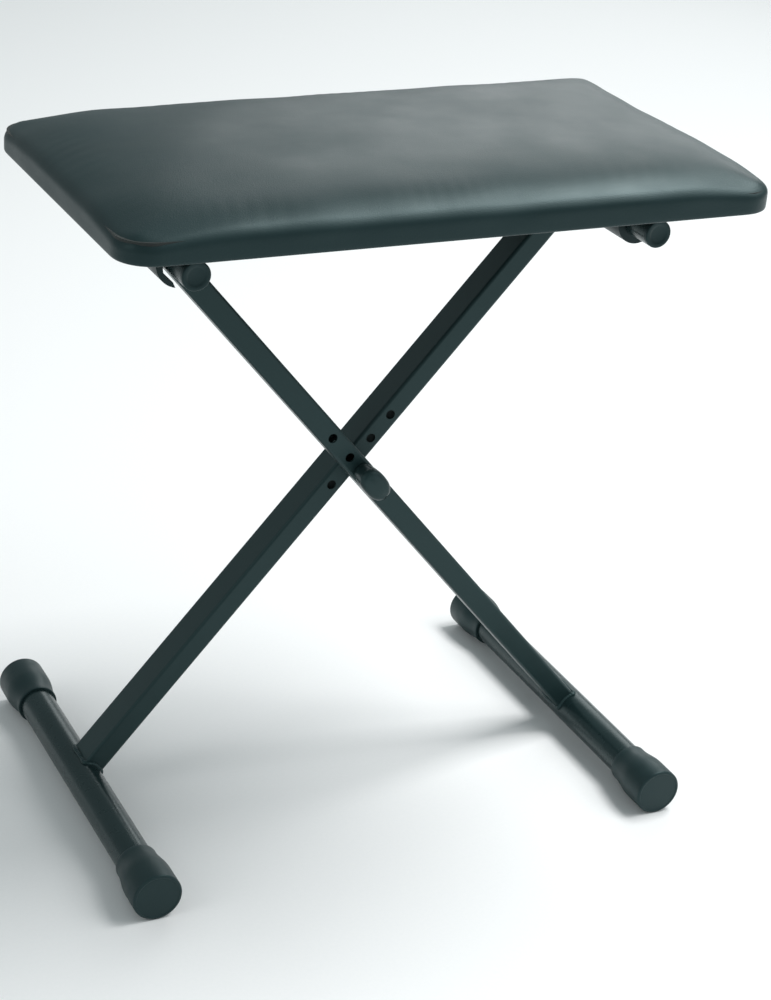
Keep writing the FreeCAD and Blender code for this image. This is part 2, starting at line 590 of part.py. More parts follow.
def block(name, shrink, low, lift):
    """The seat's outside less shrink: an upright side from the height low, then the crown raised by lift."""
    crown = []
    for share, inset in CROWN:
        crown.append((f"Dims.board_thickness + {share} * Dims.foam_thickness + {lift}", inset))
    body = doc.addObject("PartDesign::Body", name)
    outlines = []
    for number, (height, inset) in enumerate([(low, "0")] + crown):
        outline = sketch_on(body, "XY_Plane", f"{name}_outline_{number}", height)
        width = f"Dims.seat_width - 2 * ({inset} + {shrink})"
        depth = f"Dims.seat_depth - 2 * ({inset} + {shrink})"
        rounded_rectangle(outline, width, depth, f"Dims.corner_radius - {shrink}")
        outlines.append(outline)
    loft = body.newObject("PartDesign::AdditiveLoft", name + "_loft")
    loft.Profile = outlines[0]
    loft.Sections = outlines[1:]
    loft.Ruled = True
    return place(body, "0", "0", "Dims.board_height")


def board():
    """The plywood board, drilled for the saddles' screws."""
    body = doc.addObject("PartDesign::Body", "board_body")
    outline = sketch_on(body, "XY_Plane", "board_outline")
    width = "Dims.seat_width - 2 * Dims.cover_thickness"
    depth = "Dims.seat_depth - 2 * Dims.cover_thickness"
    rounded_rectangle(outline, width, depth, "Dims.corner_radius - Dims.cover_thickness")
    slab = body.newObject("PartDesign::Pad", "board_slab")
    slab.Profile = outline
    bind(slab, Length="Dims.board_thickness")
    place(body, "0", "0", "Dims.board_height")
    pilots = []
    for number, (x_rule, y_rule) in enumerate(screw_places):
        pilot = cylinder(f"pilot_{number}", "Dims.screw_dia / 2", "Dims.screw_length - Dims.flange_thickness")
        pilots.append(place(pilot, x_rule, y_rule, "Dims.board_height"))
    all_pilots = boolean("MultiFuse", "pilots", *pilots)
    return node(boolean("Cut", "board_drilled", body, all_pilots), "seat_board")


def seat_skin():
    """The cover: the seat's outside less the board, the foam, and the opening left under the board."""
    outside = block("cover_outside", "0", "-Dims.cover_thickness", "Dims.cover_thickness")
    inside = block("cover_inside", "Dims.cover_thickness", "0", "0")
    mouth_width = "(Dims.seat_width - 2 * Dims.cover_turn_in)"
    mouth_depth = "(Dims.seat_depth - 2 * Dims.cover_turn_in)"
    mouth = box("cover_mouth", mouth_width, mouth_depth, "2 * Dims.cover_thickness",
                f"-{mouth_width} / 2", f"-{mouth_depth} / 2", "Dims.board_height - 2 * Dims.cover_thickness")
    shell = boolean("Cut", "cover_shell", outside, inside)
    return node(boolean("Cut", "cover_open", shell, mouth), "seat_cover")


board()
node(block("foam_block", "Dims.cover_thickness", "Dims.board_thickness", "0"), "seat_foam")
seat_skin()

# Write ------------------------------------------------------------------------------------------------------
doc.recompute()
for obj in doc.Objects:
    if "Invalid" in obj.State or "Error" in obj.State:
        raise RuntimeError(f"{obj.Label} is in state {obj.State}")
for obj in NODES:
    if obj.Shape.isNull() or not obj.Shape.isValid():
        raise RuntimeError(f"{obj.Label} has no valid shape")
    obj.Shape.exportStep(f"parts/{obj.Label}.step")
print(len(NODES), "sub-parts")
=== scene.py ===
import math

import bmesh
import bpy
import numpy as np
from mathutils import Matrix, Vector


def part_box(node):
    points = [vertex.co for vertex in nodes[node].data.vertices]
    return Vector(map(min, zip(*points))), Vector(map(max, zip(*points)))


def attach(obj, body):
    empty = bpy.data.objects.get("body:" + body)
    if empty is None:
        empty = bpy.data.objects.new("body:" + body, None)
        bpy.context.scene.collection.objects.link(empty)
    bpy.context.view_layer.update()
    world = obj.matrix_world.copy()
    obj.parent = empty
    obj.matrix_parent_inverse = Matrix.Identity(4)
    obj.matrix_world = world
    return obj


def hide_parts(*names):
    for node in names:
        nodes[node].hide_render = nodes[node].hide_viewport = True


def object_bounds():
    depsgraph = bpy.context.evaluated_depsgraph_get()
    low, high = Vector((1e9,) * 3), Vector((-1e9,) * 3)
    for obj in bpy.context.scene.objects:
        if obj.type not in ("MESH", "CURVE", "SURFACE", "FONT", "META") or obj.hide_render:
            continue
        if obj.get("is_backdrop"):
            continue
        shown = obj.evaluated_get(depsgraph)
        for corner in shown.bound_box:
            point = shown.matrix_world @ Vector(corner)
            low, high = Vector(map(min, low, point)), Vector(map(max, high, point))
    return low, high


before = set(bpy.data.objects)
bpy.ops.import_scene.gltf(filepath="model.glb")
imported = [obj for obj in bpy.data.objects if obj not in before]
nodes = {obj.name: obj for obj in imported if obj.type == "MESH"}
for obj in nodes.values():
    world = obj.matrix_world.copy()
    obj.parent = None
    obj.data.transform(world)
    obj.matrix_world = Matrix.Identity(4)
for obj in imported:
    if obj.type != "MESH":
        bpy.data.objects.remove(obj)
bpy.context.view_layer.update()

scene = bpy.context.scene


# Camera -----------------------------------------------------------------------------------------------------
# A viewer stands in front of the bench and to its left, and looks down on the seat. The lens is a short
# telephoto, and the camera is held a little off level.
EYE = Vector((-0.6442, -1.2739, 0.8883))
YAW, PITCH, ROLL = math.radians(26.75), math.radians(25.60), math.radians(4.30)
LENS_MM, SENSOR_MM = 80.35, 36.0

ahead = Vector((math.sin(YAW) * math.cos(PITCH), math.cos(YAW) * math.cos(PITCH), -math.sin(PITCH)))
level = Vector((math.cos(YAW), -math.sin(YAW), 0))
above = level.cross(ahead)
right = level * math.cos(ROLL) + above * math.sin(ROLL)
up = above * math.cos(ROLL) - level * math.sin(ROLL)
camera = bpy.data.objects.new("camera", bpy.data.cameras.new("camera"))
camera.matrix_world = Matrix.Translation(EYE) @ Matrix((right, up, -ahead)).transposed().to_4x4()
camera.data.lens, camera.data.sensor_width = LENS_MM, SENSOR_MM
camera.data.shift_x, camera.data.shift_y = 0.0285, 0.0057
camera.data.clip_end = 50
scene.collection.objects.link(camera)
scene.camera = camera


# Studio -----------------------------------------------------------------------------------------------------
# A white sheet of paper under the bench, and four soft boxes: a wide one behind it to the right, one high to
# the right in front, the strongest above its right end, and a weak one to the left. The room is dim.
def srgb(code):
    """A hex colour such as "#20282a" as linear red, green, blue and alpha.

    A channel v becomes v / 12.92 up to 0.04045, and ((v + 0.055) / 1.055)^2.4 above it.
    """
    values = [int(code[i:i + 2], 16) / 255 for i in (1, 3, 5)]
    return [v / 12.92 if v <= 0.04045 else ((v + 0.055) / 1.055) ** 2.4 for v in values] + [1.0]


def add(tree, kind, sockets=None, **properties):
    """Adds a node with its properties set. sockets gives each input a value, or the output to link to it."""
    node = tree.nodes.new(kind)
    for name, value in properties.items():
        setattr(node, name, value)
    for name, value in (sockets or {}).items():
        if isinstance(value, bpy.types.NodeSocket):
            tree.links.new(value, node.inputs[name])
        else:
            node.inputs[name].default_value = value
    return node


def new_material(name, roughness, **uniform):
    """A node material, its tree, its shader and the object coordinates. uniform values go to the shader."""
    material = bpy.data.materials.new(name)
    material.use_nodes = True
    tree = material.node_tree
    shader = tree.nodes["Principled BSDF"]
    shader.inputs["Roughness"].default_value = roughness
    for socket, value in uniform.items():
        shader.inputs[socket.replace("_", " ")].default_value = value
    place = add(tree, "ShaderNodeTexCoord").outputs["Object"]
    return material, tree, shader, place


def mesh_object(name, points, faces, material, sharp_degrees=30):
    """A shaded mesh at the origin, its faces outward. Edges sharper than sharp_degrees stay sharp."""
    mesh = bpy.data.meshes.new(name)
    mesh.from_pydata(np.asarray(points).tolist(), [], [list(map(int, face)) for face in faces])
    shape = bmesh.new()
    shape.from_mesh(mesh)
    bmesh.ops.recalc_face_normals(shape, faces=shape.faces)
    if shape.calc_volume(signed=True) < 0:
        bmesh.ops.reverse_faces(shape, faces=shape.faces)
    shape.to_mesh(mesh)
    shape.free()
    mesh.shade_smooth()
    mesh.set_sharp_from_angle(angle=math.radians(sharp_degrees))
    mesh.materials.append(material)
    obj = bpy.data.objects.new(name, mesh)
    scene.collection.objects.link(obj)
    return obj


def paint(material, *names):
    """Gives CAD nodes a material."""
    for name in names:
        nodes[name].data.materials.clear()
        nodes[name].data.materials.append(material)


paper, tree, shader, place = new_material("matt_white_paper", 0.9)
fibre = add(tree, "ShaderNodeTexNoise", {"Vector": place, "Scale": 400.0, "Detail": 3.0})
tone = add(tree, "ShaderNodeMix", {"Factor": fibre.outputs["Fac"], 6: srgb("#f3f4f4"), 7: srgb("#f8f8f8")},
           data_type="RGBA")
tree.links.new(tone.outputs[2], shader.inputs["Base Color"])
FLOOR_REACH = 6.0
corners = [(-FLOOR_REACH, -FLOOR_REACH, 0), (FLOOR_REACH, -FLOOR_REACH, 0),
           (FLOOR_REACH, FLOOR_REACH, 0), (-FLOOR_REACH, FLOOR_REACH, 0)]
floor = mesh_object("floor", corners, [(0, 1, 2, 3)], paper)
floor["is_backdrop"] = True

world = bpy.data.worlds.new("studio")
world.use_nodes = True
world.node_tree.nodes["Background"].inputs["Color"].default_value = srgb("#dce8ea")
world.node_tree.nodes["Background"].inputs["Strength"].default_value = 0.46
scene.world = world

SOFT_BOXES = [
    # name, place in metres, what it aims at, width and height in metres, power in watts
    ("soft_box_behind", (1.95, 2.4, 1.55), (0, 0, 0.45), 2.0, 1.4, 18),
    ("soft_box_right", (1.7, -0.9, 2.0), (0, 0, 0.3), 1.3, 1.3, 18),
    ("soft_box_above", (1.25, 0.05, 2.35), (0.1, -0.1, 0.47), 1.1, 0.9, 46),
    ("soft_box_left", (-2.2, -0.4, 1.4), (0, 0, 0.2), 0.9, 1.4, 6),
]
for name, place, target, width, height, power in SOFT_BOXES:
    lamp = bpy.data.lights.new(name, "AREA")
    lamp.shape = "RECTANGLE"
    lamp.size, lamp.size_y, lamp.energy = width, height, power
    obj = bpy.data.objects.new(name, lamp)
    obj.location = place
    obj.rotation_euler = (Vector(target) - Vector(place)).to_track_quat("-Z", "Y").to_euler()
    scene.collection.objects.link(obj)
scene.view_settings.view_transform = "Standard"


# Legs and bars ----------------------------------------------------------------------------------------------
# Two rectangular steel tubes with a round steel bar welded across each end, all in black powder coat. The
# coat on the flat tubes is satin with a fine orange peel, and on the round bars it is a little glossier.
# The black finishes reflect a little more blue and green than red, so this tints their gloss.
COOL_SHEEN = srgb("#b4d4d6")


def powder_coat(name, code, light_code, roughness, peel_mm, depth_mm):
    """Powder coat: a faint mottle in the colour and the roughness, and the orange peel as a bump."""
    material, tree, shader, place = new_material(name, roughness, IOR=1.5, Specular_Tint=COOL_SHEEN)
    mottle = add(tree, "ShaderNodeTexNoise", {"Vector": place, "Scale": 55.0, "Detail": 4.0,
                                              "Roughness": 0.6})
    tone = add(tree, "ShaderNodeMix", {"Factor": mottle.outputs["Fac"], 6: srgb(code), 7: srgb(light_code)},
               data_type="RGBA")
    gloss = add(tree, "ShaderNodeMapRange", {"Value": mottle.outputs["Fac"], "From Min": 0.3, "From Max": 0.7,
                                             "To Min": roughness - 0.04, "To Max": roughness + 0.05})
    peel = add(tree, "ShaderNodeTexNoise", {"Vector": place, "Scale": 1000 / peel_mm, "Detail": 2.0})
    bump = add(tree, "ShaderNodeBump", {"Strength": 0.6, "Distance": depth_mm / 1000,
                                        "Height": peel.outputs["Fac"]})
    tree.links.new(tone.outputs[2], shader.inputs["Base Color"])
    tree.links.new(gloss.outputs["Result"], shader.inputs["Roughness"])
    tree.links.new(bump.outputs["Normal"], shader.inputs["Normal"])
    return material


LEGS = ("front_leg", "back_leg")
satin_coat = powder_coat("satin_black_powder_coat", "#1b2b2c", "#223435", 0.38, 1.6, 0.05)
gloss_coat = powder_coat("gloss_black_powder_coat", "#182627", "#1e2e2f", 0.27, 2.2, 0.04)
for leg in LEGS:
    paint(satin_coat, leg + "_tube")
    paint(gloss_coat, leg + "_foot_bar", leg + "_seat_bar")

# Where the legs stand, in metres: the axis of each bar, the pivot and the way up each leg. A side is the
# sign of the X where the leg's foot is.
LEG_WIDTH, LEG_DEPTH, LEG_CORNER = 0.016, 0.025, 0.0022
FOOT_BAR_RADIUS, SEAT_BAR_RADIUS, BAR_WALL = 0.0127, 0.0095, 0.0015
LEG_GAP = 0.001
SIDES = {"front_leg": 1, "back_leg": -1}


def middle_of(name):
    """The middle of a CAD node's box."""
    low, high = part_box(name)
    return (np.array(low) + np.array(high)) / 2


foot_axis = {leg: middle_of(leg + "_foot_bar") for leg in LEGS}
seat_axis = {leg: middle_of(leg + "_seat_bar") for leg in LEGS}
whole_leg = {leg: seat_axis[leg] - foot_axis[leg] for leg in LEGS}
up_leg = {leg: whole_leg[leg] / np.linalg.norm(whole_leg[leg]) for leg in LEGS}


# Weld beads -------------------------------------------------------------------------------------------------
# The legs are arc welded to their bars all round, under the powder coat. Each bead is a small roll along the
# line where the tube meets the bar, with the ripples that a welder's stops leave.
BEAD_RADIUS, RIPPLE_PITCH, RIPPLE_DEPTH = 0.0019, 0.0021, 0.16
SEAM_STEPS, ROLL_STEPS = 220, 12


def grid_faces(rows, columns, wrap_rows=False, wrap_columns=False):
    """The quads of a grid of points laid out row by row. A wrapped direction closes on itself."""
    row = np.arange(rows if wrap_rows else rows - 1)[:, None]
    column = np.arange(columns if wrap_columns else columns - 1)[None, :]
    after_row, after_column = (row + 1) % rows, (column + 1) % columns
    here, beside = row * columns + column, row * columns + after_column
    across, above = after_row * columns + after_column, after_row * columns + column
    return np.stack(np.broadcast_arrays(here, beside, across, above), -1).reshape(-1, 4)


def rounded_rectangle(half_x, half_y, radius, count):
    """count points evenly spaced along a rectangle with round corners, and their outward normals.

    From its first corner onwards the outline is four quarter arcs, each followed by a straight side.
    """
    arc = radius * math.pi / 2
    sides = np.array([2 * (half_y - radius), 2 * (half_x - radius)] * 2)
    starts = np.concatenate([[0], np.cumsum(sides + arc)])
    along = np.linspace(0, starts[-1], count, endpoint=False)
    corner = np.searchsorted(starts, along, side="right") - 1
    past = along - starts[corner]
    turn = (np.minimum(past / arc, 1) - 1 + corner) * math.pi / 2
    normal = np.stack([np.cos(turn), np.sin(turn)], 1)
    tangent = np.stack([-np.sin(turn), np.cos(turn)], 1)
    signs = np.array([(1, -1), (1, 1), (-1, 1), (-1, -1)])[corner]
    centre = signs * np.array([half_x - radius, half_y - radius])
    points = centre + normal * radius + tangent * np.maximum(past - arc, 0)[:, None]
    return points, normal, along


def weld_bead(name, leg, end, bar_radius, side_of_bar):
    """A bead on the seam of a leg and a bar.

    The seam is the rounded rectangle of the tube, lifted onto the bar: height = sqrt(R^2 - x^2). The roll's
    radius is BEAD_RADIUS * (0.88 + ripple * |sin(pi * along / pitch)|), with slow waves that make it uneven.
    """
    seam, normal, along = rounded_rectangle(LEG_WIDTH / 2, LEG_DEPTH / 2, LEG_CORNER, SEAM_STEPS)
    length = along[-1] * SEAM_STEPS / (SEAM_STEPS - 1)
    ripples = round(length / RIPPLE_PITCH)
    round_seam = 2 * math.pi * along / length
    phase = round_seam * ripples / 2 + 0.5 * np.sin(3 * round_seam)
    wander = 0.10 * np.sin(5 * round_seam + side_of_bar) + 0.07 * np.sin(9 * round_seam)
    radius = BEAD_RADIUS * (0.88 + RIPPLE_DEPTH * np.abs(np.sin(phase)) + wander)
    height = side_of_bar * np.sqrt(bar_radius ** 2 - seam[:, 0] ** 2)
    turn = np.linspace(0, 2 * math.pi, ROLL_STEPS, endpoint=False)[None, :]
    out = (radius[:, None] * np.cos(turn))[..., None] * normal[:, None, :] + seam[:, None, :]
    lift = height[:, None] + radius[:, None] * np.sin(turn)
    up_axis, y_axis = up_leg[leg], np.array([0, 1, 0])
    x_axis = np.cross(y_axis, up_axis)
    points = out[..., :1] * x_axis + out[..., 1:] * y_axis + lift[..., None] * up_axis
    where = end + np.array([0, -SIDES[leg] * (LEG_DEPTH + LEG_GAP) / 2, 0])
    faces = grid_faces(SEAM_STEPS, ROLL_STEPS, wrap_rows=True, wrap_columns=True)
    bead = mesh_object(name, (points + where).reshape(-1, 3), faces, satin_coat, 60)
    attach(bead, leg)
    return bead


for leg in LEGS:
    bead = weld_bead(leg + "_foot_bead", leg, foot_axis[leg], FOOT_BAR_RADIUS, 1)
    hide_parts(leg + "_foot_weld")
    bead = weld_bead(leg + "_seat_bead", leg, seat_axis[leg], SEAT_BAR_RADIUS, -1)
    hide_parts(leg + "_seat_weld")


# Foot caps and bar plugs ------------------------------------------------------------------------------------
# Soft black plastic caps are pushed over the foot bars' ends. Each has a thin lip that swells into a thick
# closed end with a flat face. Smaller plugs of the same plastic close the seat bars' ends.
def moulded_plastic(name, code, light_code, roughness, grain_mm):
    """Moulded plastic: an even fine grain, with duller patches where it has been handled."""
    material, tree, shader, place = new_material(name, roughness, IOR=1.48, Specular_Tint=COOL_SHEEN)
    patches = add(tree, "ShaderNodeTexNoise", {"Vector": place, "Scale": 90.0, "Detail": 5.0})
    tone = add(tree, "ShaderNodeMix", {"Factor": patches.outputs["Fac"], 6: srgb(code), 7: srgb(light_code)},
               data_type="RGBA")
    dull = add(tree, "ShaderNodeMapRange", {"Value": patches.outputs["Fac"],
                                            "From Min": 0.35, "From Max": 0.7,
                                            "To Min": roughness - 0.05, "To Max": roughness + 0.08})
    grain = add(tree, "ShaderNodeTexVoronoi", {"Vector": place, "Scale": 1000 / grain_mm})
    bump = add(tree, "ShaderNodeBump", {"Strength": 0.35, "Distance": 0.00004,
                                        "Height": grain.outputs["Distance"]})
    tree.links.new(tone.outputs[2], shader.inputs["Base Color"])
    tree.links.new(dull.outputs["Result"], shader.inputs["Roughness"])
    tree.links.new(bump.outputs["Normal"], shader.inputs["Normal"])
    return material


def turned(name, profile, start, into, material, steps=96):
    """A closed turned piece about the line from start along into, which is parallel to Y.

    profile is (radius, distance) from the middle of its outer face round to the middle of its inner one.
    The point at step i of a ring is start + distance * into + radius * (cos a, 0, sin a), a = 2 pi i / steps.
    """
    radius, distance = np.array(profile)[1:-1].T
    turn = np.linspace(0, 2 * math.pi, steps, endpoint=False)
    across = np.stack([np.cos(turn), np.zeros(steps), np.sin(turn)], 1)
    rings = np.array(start) + distance[:, None, None] * np.array(into) + radius[:, None, None] * across[None]
    poles = np.array(start) + np.array([[profile[0][1]], [profile[-1][1]]]) * np.array(into)
    points = np.concatenate([rings.reshape(-1, 3), poles])
    last, step = (len(radius) - 1) * steps, np.arange(steps)
    after = (step + 1) % steps
    outer = np.stack([np.full(steps, len(points) - 2), step, after], 1)
    inner = np.stack([np.full(steps, len(points) - 1), last + after, last + step], 1)
    faces = grid_faces(len(radius), steps, wrap_columns=True).tolist() + outer.tolist() + inner.tolist()
    return mesh_object(name, points, faces, material)


def arc(centre, radius, first, last, count=6):
    """Points (r, d) on a fillet from one angle to another, in degrees."""
    turn = np.radians(np.linspace(first, last, count))
    return [(centre[0] + radius * math.cos(a), centre[1] + radius * math.sin(a)) for a in turn]


CAP_RADIUS, CAP_LIP_RADIUS, CAP_LENGTH, CAP_FLOOR = 0.0172, 0.0147, 0.042, 0.005
CAP_EDGE, CAP_FLARE_END, CAP_FLARE_START = 0.0014, 0.039, 0.019
FACE_DISH_RADIUS, FACE_DISH = 0.0148, 0.0003
flare = np.linspace(0, 1, 14)
flare_radius = CAP_RADIUS - (CAP_RADIUS - CAP_LIP_RADIUS) * (1 - np.cos(math.pi * flare)) / 2
flare_place = CAP_FLARE_START + (CAP_FLARE_END - CAP_FLARE_START) * flare
cap_profile = (
    [(0, FACE_DISH), (FACE_DISH_RADIUS * 0.6, FACE_DISH), (FACE_DISH_RADIUS, FACE_DISH),
     (FACE_DISH_RADIUS + 0.0004, 0)]
    + arc((CAP_RADIUS - CAP_EDGE, CAP_EDGE), CAP_EDGE, -90, 0)
    + list(zip(flare_radius, flare_place))
    + arc((CAP_LIP_RADIUS - 0.0006, CAP_LENGTH - 0.0006), 0.0006, 0, 90, 4)
    + [(FOOT_BAR_RADIUS + 0.0001, CAP_LENGTH), (FOOT_BAR_RADIUS + 0.0001, CAP_FLOOR), (0, CAP_FLOOR)])
PLUG_FLANGE, PLUG_LENGTH, PLUG_EDGE = 0.003, 0.017, 0.0009
plug_profile = (
    [(0, 0.0006), (0.005, 0.0006), (0.0062, 0.0003), (0.0068, 0)]
    + arc((SEAT_BAR_RADIUS - PLUG_EDGE, PLUG_EDGE), PLUG_EDGE, -90, 0)
    + [(SEAT_BAR_RADIUS, PLUG_FLANGE), (SEAT_BAR_RADIUS - BAR_WALL, PLUG_FLANGE),
       (SEAT_BAR_RADIUS - BAR_WALL, PLUG_LENGTH - 0.001), (SEAT_BAR_RADIUS - BAR_WALL - 0.001, PLUG_LENGTH),
       (0, PLUG_LENGTH)])
cap_plastic = moulded_plastic("soft_black_cap_plastic", "#1a292a", "#223234", 0.44, 0.5)
for leg in LEGS:
    for end, inward in (("front", 1), ("rear", -1)):
        for kind, slot, axis, profile in (("foot_cap", "foot_cap", foot_axis, cap_profile),
                                          ("bar_plug", "bar_plug", seat_axis, plug_profile)):
            node = f"{leg}_{kind}_{end}"
            low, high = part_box(node)
            start = (axis[leg][0], low[1] if inward > 0 else high[1], axis[leg][2])
            piece = turned(f"{leg}_{kind}_{end}_moulded", profile, start, (0, inward, 0), cap_plastic)
            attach(piece, leg)
            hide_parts(node)


# Clamping knob ----------------------------------------------------------------------------------------------
# An oval grip of black plastic, moulded on the stud, with its long axis along the front leg. It is a little
# narrower at the washer, and its edge rolls over into a slightly domed face.
KNOB_HALF_WIDTH, KNOB_HALF_LENGTH, KNOB_HEIGHT = 0.0085, 0.0135, 0.017
KNOB_BORE, KNOB_BORE_DEPTH, KNOB_ROUND = 0.00302, 0.012, 0.0042
KNOB_STEPS, OVAL_POWER = 96, 2.5
low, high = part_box("knob")
knob_base = np.array([(low[0] + high[0]) / 2, high[1], (low[2] + high[2]) / 2])
turn = np.linspace(0, 2 * math.pi, KNOB_STEPS, endpoint=False)
# The oval is |x / a|^p + |y / b|^p = 1, with p between an ellipse's 2 and a rounded bar's 3.
reach = (np.abs(np.cos(turn)) ** OVAL_POWER + np.abs(np.sin(turn)) ** OVAL_POWER) ** (-1 / OVAL_POWER)
oval = np.stack([reach * np.cos(turn), reach * np.sin(turn)], 1)
ring = np.stack([np.cos(turn), np.sin(turn)], 1)
roll = np.radians(np.linspace(0, 84, 9))
roll_start = KNOB_HEIGHT - KNOB_ROUND - 0.0008
side_height = np.linspace(0.0006, roll_start, 7)
side_inset = 0.0011 * (1 - side_height / side_height[-1]) ** 2
levels = [(0, 0.0017)] + list(zip(side_height, side_inset))
levels += [(roll_start + KNOB_ROUND * math.sin(a), KNOB_ROUND * (1 - math.cos(a))) for a in roll]
levels += [(KNOB_HEIGHT - 0.0004, 0.0060), (KNOB_HEIGHT - 0.0001, 0.0074)]
half_size = np.array([KNOB_HALF_WIDTH, KNOB_HALF_LENGTH])
rows = [(height, oval * (half_size - inset)) for height, inset in levels]
rows = [(KNOB_BORE_DEPTH, ring * KNOB_BORE), (0, ring * KNOB_BORE)] + rows
width_axis = np.array([up_leg["front_leg"][2], 0, -up_leg["front_leg"][0]])
points = np.concatenate([knob_base + plan[:, :1] * width_axis + plan[:, 1:] * up_leg["front_leg"]
                         + np.array([0, -height, 0]) for height, plan in rows])
poles = knob_base + np.array([[0, -KNOB_BORE_DEPTH, 0], [0, -KNOB_HEIGHT, 0]])
step = np.arange(KNOB_STEPS)
after = (step + 1) % KNOB_STEPS
last = (len(rows) - 1) * KNOB_STEPS
faces = grid_faces(len(rows), KNOB_STEPS, wrap_columns=True).tolist()
faces += np.stack([np.full(KNOB_STEPS, len(points)), after, step], 1).tolist()
faces += np.stack([np.full(KNOB_STEPS, len(points) + 1), last + step, last + after], 1).tolist()
knob_plastic = moulded_plastic("black_knob_plastic", "#1c2b2c", "#243536", 0.36, 0.7)
knob = mesh_object("knob_grip", np.concatenate([points, poles]), faces, knob_plastic, 40)
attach(knob, "knob")
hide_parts("knob")


# Stud, nut and washers --------------------------------------------------------------------------------------
# An M6 stud of zinc-plated steel with its thread at the nut's end, a hexagon nut, two washers, and a nylon
# spacer between the legs.
def zinc_plate(name, code, light_code, roughness):
    """Zinc plate: bright metal, clouded in patches, with the fine scratches of tumbling."""
    material, tree, shader, place = new_material(name, roughness, Metallic=1.0)
    cloud = add(tree, "ShaderNodeTexNoise", {"Vector": place, "Scale": 260.0, "Detail": 6.0,
                                             "Roughness": 0.65})
    tone = add(tree, "ShaderNodeMix", {"Factor": cloud.outputs["Fac"], 6: srgb(code), 7: srgb(light_code)},
               data_type="RGBA")
    dull = add(tree, "ShaderNodeMapRange", {"Value": cloud.outputs["Fac"], "From Min": 0.3, "From Max": 0.7,
                                            "To Min": roughness - 0.08, "To Max": roughness + 0.12})
    long_way = add(tree, "ShaderNodeMapping", {"Vector": place, "Scale": (300.0, 3000.0, 3000.0)})
    scratch = add(tree, "ShaderNodeTexNoise", {"Vector": long_way.outputs["Vector"], "Scale": 1.0,
                                               "Detail": 3.0})
    bump = add(tree, "ShaderNodeBump", {"Strength": 0.3, "Distance": 0.00002,
                                        "Height": scratch.outputs["Fac"]})
    tree.links.new(tone.outputs[2], shader.inputs["Base Color"])
    tree.links.new(dull.outputs["Result"], shader.inputs["Roughness"])
    tree.links.new(bump.outputs["Normal"], shader.inputs["Normal"])
    return material


def soften(name, width_mm):
    """Rounds a CAD node's sharp edges a little, as moulding and plating do."""
    bevel = nodes[name].modifiers.new("soft_edges", "BEVEL")
    bevel.width, bevel.segments = width_mm / 1000, 2
    bevel.limit_method, bevel.angle_limit = "ANGLE", math.radians(35)
    bevel.harden_normals = False


zinc = zinc_plate("zinc_plated_steel", "#8f9697", "#b4babb", 0.34)
paint(zinc, "nut_washer", "pivot_nut", "knob_washer")
soften("pivot_nut", 0.5)
soften("nut_washer", 0.2)
soften("knob_washer", 0.2)

nylon, tree, shader, place = new_material("natural_nylon", 0.45, IOR=1.53, Subsurface_Weight=0.2)
cloud = add(tree, "ShaderNodeTexNoise", {"Vector": place, "Scale": 500.0, "Detail": 3.0})
tone = add(tree, "ShaderNodeMix", {"Factor": cloud.outputs["Fac"], 6: srgb("#b9b8ac"), 7: srgb("#cfcec4")},
           data_type="RGBA")
tree.links.new(tone.outputs[2], shader.inputs["Base Color"])
paint(nylon, "leg_spacer")

STUD_RADIUS, THREAD_PITCH, THREAD_DEPTH, THREAD_LENGTH = 0.003, 0.001, 0.00055, 0.026
THREAD_STEPS, RINGS_PER_TURN = 32, 8
low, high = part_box("knob_stud")
stud_axis = (np.array(low) + np.array(high)) / 2
thread_start = high[1] - THREAD_LENGTH
plain = np.array([low[1], low[1], thread_start - 0.0002])
threaded = np.linspace(thread_start, high[1], round(THREAD_LENGTH / THREAD_PITCH * RINGS_PER_TURN))
along = np.concatenate([plain, threaded])
turn = np.linspace(0, 2 * math.pi, THREAD_STEPS, endpoint=False)[None, :]
# The thread's depth is a triangle wave of (y / pitch - angle / 2 pi), cut only from thread_start on, and the
# last turn tapers to a point-ended lead.
wave = np.abs(((along[:, None] / THREAD_PITCH - turn / (2 * math.pi)) % 1) * 2 - 1)
cut = np.where(along[:, None] >= thread_start, THREAD_DEPTH * wave, 0)
LEAD_LENGTH, LEAD_DEPTH = 0.0008, 0.0007
lead = np.clip((along[:, None] - high[1] + LEAD_LENGTH) / LEAD_LENGTH, 0, 1) * LEAD_DEPTH
radius = STUD_RADIUS - cut - lead
radius[0] *= 0.85
points = np.stack([stud_axis[0] + radius * np.cos(turn), np.broadcast_to(along[:, None], radius.shape),
                   stud_axis[2] + radius * np.sin(turn)], -1).reshape(-1, 3)
ends = np.array([[stud_axis[0], along[0], stud_axis[2]], [stud_axis[0], along[-1], stud_axis[2]]])
step = np.arange(THREAD_STEPS)
after, last = (step + 1) % THREAD_STEPS, (len(along) - 1) * THREAD_STEPS
faces = grid_faces(len(along), THREAD_STEPS, wrap_columns=True).tolist()
faces += np.stack([np.full(THREAD_STEPS, len(points)), after, step], 1).tolist()
faces += np.stack([np.full(THREAD_STEPS, len(points) + 1), last + step, last + after], 1).tolist()
stud = mesh_object("threaded_stud", np.concatenate([points, ends]), faces, zinc, 50)
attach(stud, "knob")
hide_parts("knob_stud")


# Saddles and their screws -----------------------------------------------------------------------------------
# Four moulded blocks of black nylon under the board: two that close round the back leg's bar, and two hooks
# that rest on the front leg's bar. Each is held by two pan-head wood screws with cross recesses.
saddle_plastic = moulded_plastic("black_saddle_nylon", "#161e1f", "#1e2829", 0.46, 0.6)
for saddle in ("bearing_saddle_front", "bearing_saddle_rear", "hook_saddle_front", "hook_saddle_rear"):
    paint(saddle_plastic, saddle)
    soften(saddle, 0.6)

